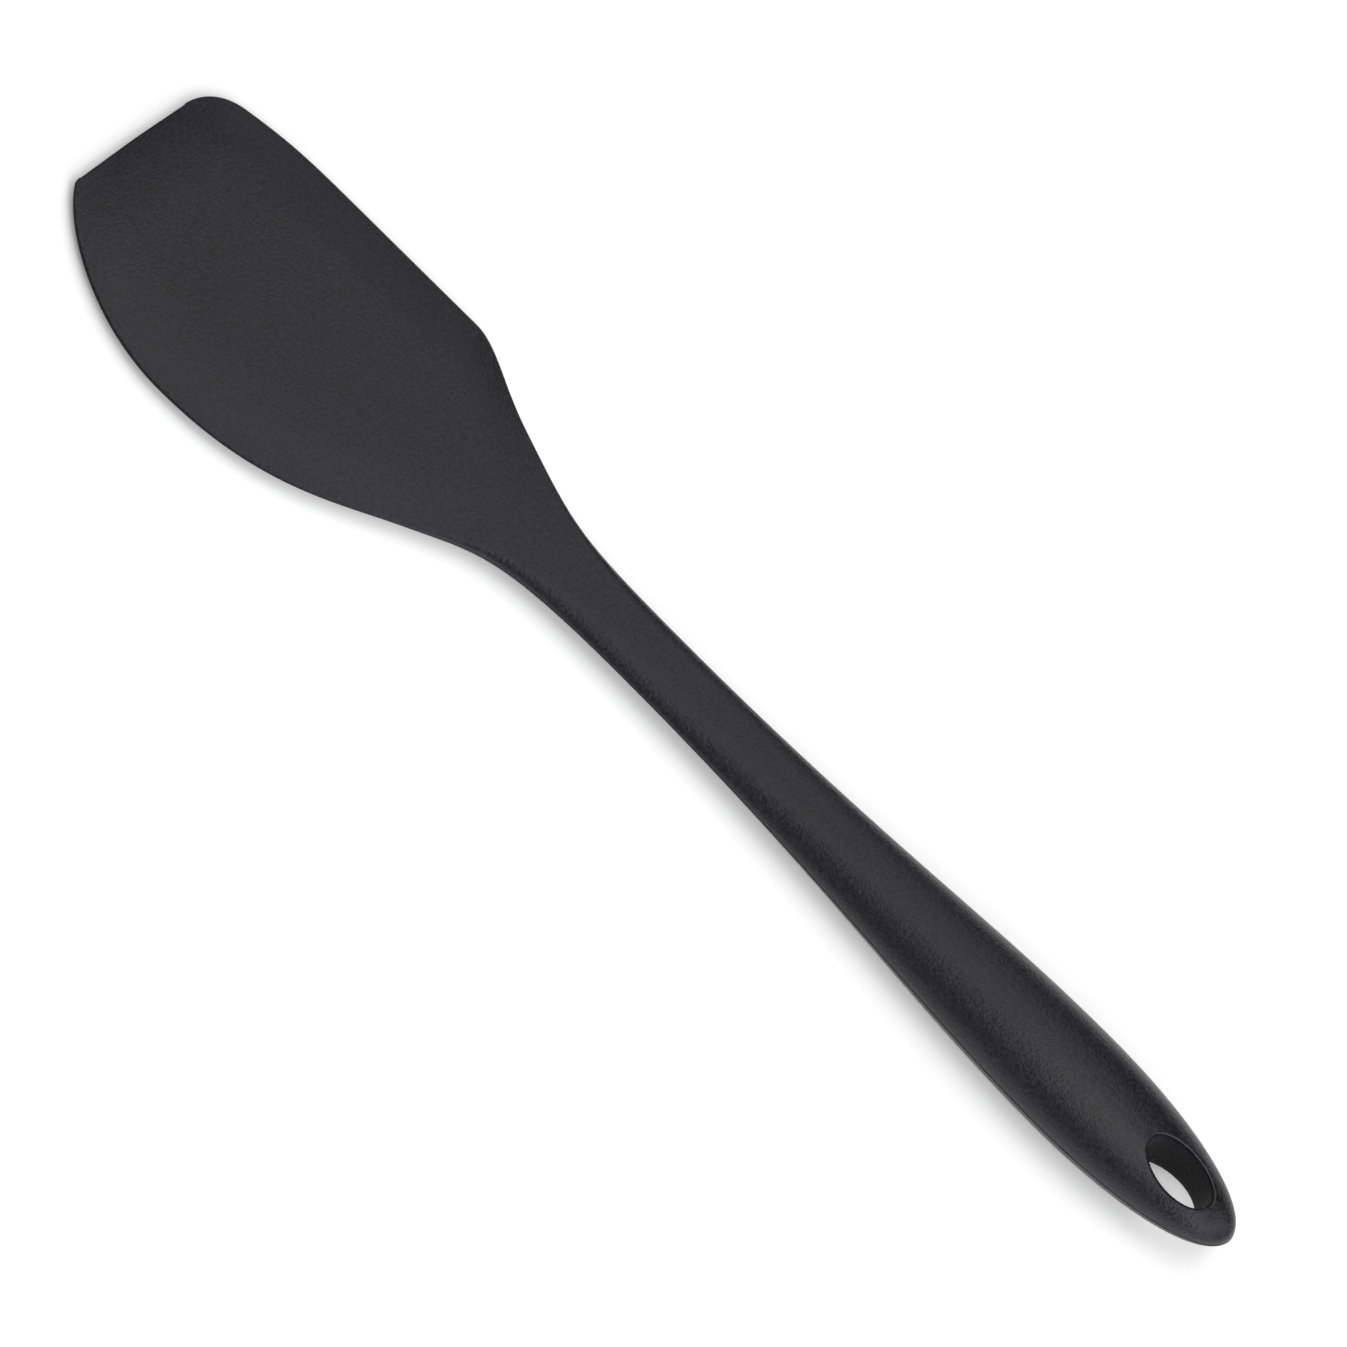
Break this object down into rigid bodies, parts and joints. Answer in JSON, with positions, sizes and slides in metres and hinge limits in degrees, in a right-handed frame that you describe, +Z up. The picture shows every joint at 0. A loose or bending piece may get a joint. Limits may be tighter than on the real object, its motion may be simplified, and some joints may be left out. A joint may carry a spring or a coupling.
{
  "type": "spatula",
  "caption": "Silicone kitchen spatula with a slanted tip, one straight and one bellied blade side, a slim neck, a swelling grip with a hanging hole, and a stiff core inside.",
  "frame": {"origin": "on the table under the middle of the spatula's box, as it lies on its back with the blade and the grip both touching the table", "axes": "+X from the tip of the blade to the butt of the grip, +Z up out of the front face, +Y towards the straight side of the blade"},
  "size_m": [0.2802, 0.0534, 0.0178],
  "materials": {
    "silicone": "matt black moulded silicone with a fine even grain",
    "core_nylon": "natural glass-fibre nylon, hidden inside the silicone"
  },
  "bodies": {
    "root": {"stiffening_core": "core_nylon", "front_skin": "silicone", "back_skin": "silicone"}
  },
  "joints": []
}
